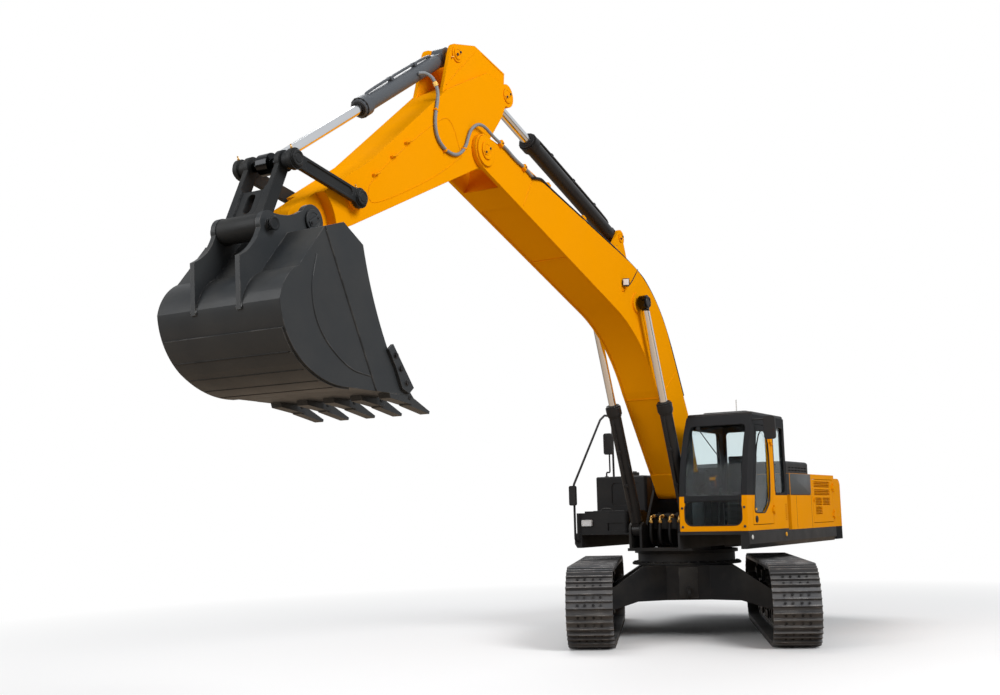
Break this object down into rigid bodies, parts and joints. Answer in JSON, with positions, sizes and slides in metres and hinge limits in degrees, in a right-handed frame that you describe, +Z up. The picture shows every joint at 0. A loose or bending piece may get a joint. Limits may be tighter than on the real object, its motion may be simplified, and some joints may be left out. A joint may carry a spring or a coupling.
{
  "type": "crawler excavator",
  "caption": "Tracked digging machine: swinging upper structure with cab, bent boom, arm and bucket moved by hydraulic cylinders, on two long tracks.",
  "frame": {"origin": "on the ground at the slew axis", "axes": "+X forward along the boom, +Y to the left where the cab is, +Z up"},
  "size_m": [12.8942, 4.909, 6.8844],
  "materials": {
    "black_paint": "satin",
    "cast": "painted",
    "chrome": "polished",
    "counterweight_paint": "gloss",
    "engine": "cast",
    "fabric": "woven",
    "glass": "clear",
    "graphite_paint": "satin",
    "grey_paint": "satin",
    "lens": "clear",
    "plastic": "grained",
    "steel": "worn",
    "yellow_paint": "gloss"
  },
  "bodies": {
    "undercarriage": {"carbody": "black_paint", "slew_ring": "black_paint", "track_frame_left": "black_paint", "track_frame_right": "black_paint", "track_left": "steel", "track_right": "steel", "running_gear_left": "cast", "running_gear_right": "cast", "tow_eyes": "black_paint"},
    "upper": {"main_frame": "black_paint", "side_frame_left": "black_paint", "side_frame_right": "black_paint", "counterweight": "counterweight_paint", "engine_block": "engine", "housing": "yellow_paint", "air_intake": "plastic", "fuel_tank": "black_paint", "tool_box": "black_paint", "cab_frame": "yellow_paint", "cab_floor": "black_paint", "cab_roof": "black_paint", "cab_glass": "glass", "seat": "fabric", "controls": "plastic", "handrails": "black_paint", "mirrors": "plastic", "lamps": "lens", "exhaust": "black_paint", "lifting_eyes": "counterweight_paint"},
    "boom": {"boom": "yellow_paint", "boom_pipes": "black_paint", "boom_lamp": "lens"},
    "boom_barrels": {"boom_barrels": "black_paint"},
    "boom_rods": {"boom_rods": "chrome"},
    "arm": {"arm": "yellow_paint"},
    "arm_barrel": {"arm_barrel": "black_paint"},
    "arm_rod": {"arm_rod": "chrome"},
    "bucket": {"bucket": "graphite_paint", "bucket_teeth": "graphite_paint", "side_cutters": "graphite_paint"},
    "bucket_barrel": {"bucket_barrel": "grey_paint"},
    "bucket_rod": {"bucket_rod": "chrome"},
    "rocker_links": {"rocker_links": "graphite_paint"},
    "bucket_link": {"bucket_link": "graphite_paint"},
    "cab_door": {"cab_door": "yellow_paint", "cab_door_glass": "glass"},
    "radiator_door": {"radiator_door": "yellow_paint"},
    "pump_door": {"pump_door": "yellow_paint"},
    "engine_hood": {"engine_hood": "yellow_paint"},
    "tool_box_lid": {"tool_box_lid": "black_paint"}
  },
  "joints": [
    {"name": "swing", "type": "hinge", "parent": "undercarriage", "child": "upper", "pos_m": [0, 0, 1.155], "axis": [0, 0, 1], "continuous": true},
    {"name": "boom_lift", "type": "hinge", "parent": "upper", "child": "boom", "pos_m": [0.214, 0, 2.115], "axis": [0, -1, 0], "range_deg": [-60, 25]},
    {"name": "boom_barrel_swing", "type": "hinge", "parent": "upper", "child": "boom_barrels", "pos_m": [0.8, 0, 1.495], "axis": [0, -1, 0], "range_deg": [-58.8, 25.08]},
    {"name": "boom_rod_slide", "type": "slide", "parent": "boom_barrels", "child": "boom_rods", "axis": [0.3715, 0, 0.9284], "range_m": [-0.83265, 0.35277]},
    {"name": "arm_crowd", "type": "hinge", "parent": "boom", "child": "arm", "pos_m": [5.82416, 0, 5.67806], "axis": [0, 1, 0], "range_deg": [-22, 85]},
    {"name": "arm_barrel_swing", "type": "hinge", "parent": "boom", "child": "arm_barrel", "pos_m": [2.10661, 0, 5.43396], "axis": [0, 1, 0], "range_deg": [-2.09, 5.21]},
    {"name": "arm_rod_slide", "type": "slide", "parent": "arm_barrel", "child": "arm_rod", "axis": [0.9471, 0, 0.321], "range_m": [-0.34203, 1.29284]},
    {"name": "bucket_curl", "type": "hinge", "parent": "arm", "child": "bucket", "pos_m": [8.71137, 0, 4.31452], "axis": [0, 1, 0], "range_deg": [-115, 45]},
    {"name": "bucket_barrel_swing", "type": "hinge", "parent": "arm", "child": "bucket_barrel", "pos_m": [6.23322, 0, 6.66599], "axis": [0, 1, 0], "range_deg": [-9.63, 4.38]},
    {"name": "bucket_rod_slide", "type": "slide", "parent": "bucket_barrel", "child": "bucket_rod", "axis": [0.8269, 0, -0.5623], "range_m": [-0.79479, 0.31709]},
    {"name": "rocker_swing", "type": "hinge", "parent": "arm", "child": "rocker_links", "pos_m": [8.08655, 0, 4.64942], "axis": [0, 1, 0], "range_deg": [-61.43, 24.65]},
    {"name": "bucket_link_swing", "type": "hinge", "parent": "bucket", "child": "bucket_link", "pos_m": [9.25547, 0, 4.17785], "axis": [0, 1, 0], "range_deg": [-38.8, 97.6]},
    {"name": "cab_door_swing", "type": "hinge", "parent": "upper", "child": "cab_door", "pos_m": [0.39, 1.491, 2.2], "axis": [0, 0, 1], "range_deg": [0, 150]},
    {"name": "radiator_door_swing", "type": "hinge", "parent": "upper", "child": "radiator_door", "pos_m": [-2.5, 1.504, 1.85], "axis": [0, 0, 1], "range_deg": [0, 110]},
    {"name": "pump_door_swing", "type": "hinge", "parent": "upper", "child": "pump_door", "pos_m": [-2.35, -1.504, 1.85], "axis": [0, 0, -1], "range_deg": [0, 110]},
    {"name": "engine_hood_lift", "type": "hinge", "parent": "upper", "child": "engine_hood", "pos_m": [-1.08, 0, 2.264], "axis": [0, 1, 0], "range_deg": [0, 70]},
    {"name": "tool_box_lid_lift", "type": "hinge", "parent": "upper", "child": "tool_box_lid", "pos_m": [0.0023, -1, 1.759], "axis": [0, -1, 0], "range_deg": [0, 75]}
  ],
  "couplings": [
    {"joint": "boom_barrel_swing", "follows": "boom_lift", "ratio": 0.96331},
    {"joint": "boom_rod_slide", "follows": "boom_lift", "m_per_rad": 0.78558},
    {"joint": "arm_barrel_swing", "follows": "arm_crowd", "ratio": 0.04949},
    {"joint": "arm_rod_slide", "follows": "arm_crowd", "m_per_rad": 0.86472},
    {"joint": "bucket_barrel_swing", "follows": "bucket_curl", "ratio": 0.07504},
    {"joint": "bucket_rod_slide", "follows": "bucket_curl", "m_per_rad": 0.391},
    {"joint": "rocker_swing", "follows": "bucket_curl", "ratio": 0.52549},
    {"joint": "bucket_link_swing", "follows": "bucket_curl", "ratio": -0.84}
  ]
}
